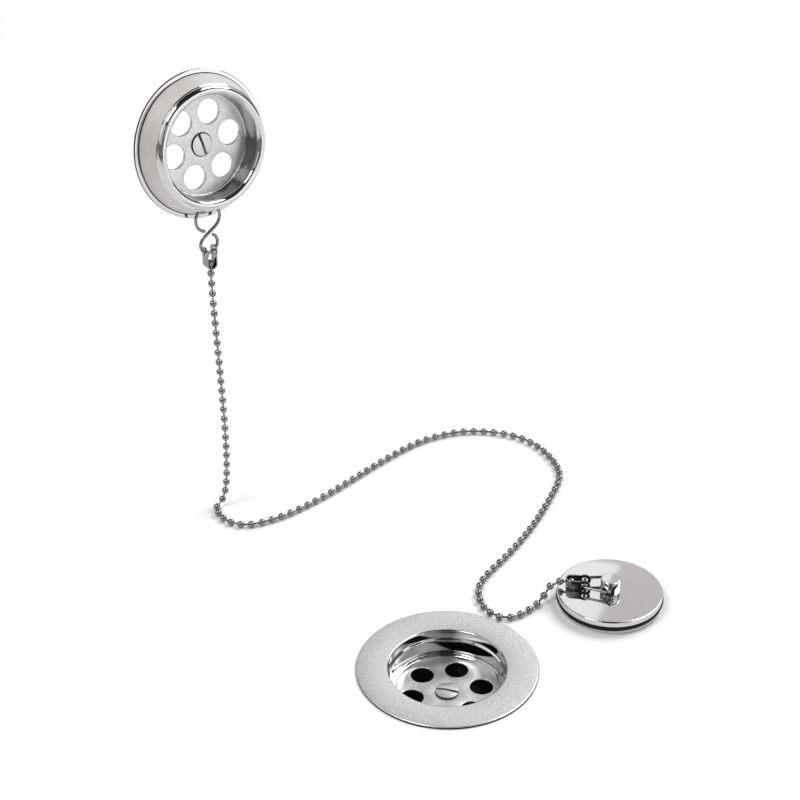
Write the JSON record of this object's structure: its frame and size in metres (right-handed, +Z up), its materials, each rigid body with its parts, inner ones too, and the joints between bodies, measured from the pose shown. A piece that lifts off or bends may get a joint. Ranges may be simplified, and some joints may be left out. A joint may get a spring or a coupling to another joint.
{
  "type": "bath waste",
  "caption": "Bath waste with a slotted grid screw and outlet tail, a plug on a ball chain with couplings and S-hook, and a round overflow face.",
  "frame": {"origin": "on the waste's axis, at the underside of its flange, which is the height of the bath's floor", "axes": "+Z up out of the waste; +X and +Y follow the picture: +X to the right and +Y away from the camera; the overflow face stands at -X +Y and the plug at +X +Y"},
  "size_m": [0.2152, 0.2113, 0.2649],
  "materials": {
    "polished_chrome": "polished",
    "satin_chrome": "satin",
    "chain_chrome": "polished",
    "rubber": "matte",
    "plastic": "matte",
    "brass": "machined"
  },
  "bodies": {
    "fixed": {"waste_flange": "polished_chrome", "waste_washer": "rubber", "waste_screw": "polished_chrome", "waste_tail": "plastic", "tail_washer": "rubber", "tail_insert": "brass", "overflow_face": "satin_chrome", "overflow_washer": "rubber", "overflow_screw": "satin_chrome", "lying_balls": "chain_chrome", "lying_links": "chain_chrome", "plug_coupling": "chain_chrome"},
    "hook": {"s_hook": "chain_chrome"},
    "hanging": {"hook_coupling": "chain_chrome", "hanging_balls": "chain_chrome", "hanging_links": "chain_chrome"},
    "bail": {"plug_bail": "chain_chrome"},
    "plug": {"plug_pillar": "polished_chrome", "plug_top": "polished_chrome", "plug_seal": "rubber", "plug_base": "polished_chrome"}
  },
  "joints": [
    {"name": "hook_swing", "type": "hinge", "parent": "fixed", "child": "hook", "pos_m": [-0.09747, 0.11289, 0.14711], "axis": [0.7859, 0.6184, 0], "range_deg": [-15, 15]},
    {"name": "coupling_swing", "type": "hinge", "parent": "hook", "child": "hanging", "pos_m": [-0.09747, 0.11289, 0.12842], "axis": [0.7859, 0.6184, 0], "range_deg": [-17, 17]},
    {"name": "bail_swing", "type": "hinge", "parent": "fixed", "child": "bail", "pos_m": [0.0579, 0.04478, 0.00915], "axis": [-0.1392, -0.9903, 0], "range_deg": [0, 80]},
    {"name": "plug_tilt", "type": "hinge", "parent": "bail", "child": "plug", "pos_m": [0.0684, 0.0433, 0.00915], "axis": [-0.1392, -0.9903, 0], "range_deg": [0, 95]}
  ],
  "couplings": [
    {"joint": "hook_swing", "follows": "coupling_swing", "ratio": -0.85512}
  ]
}
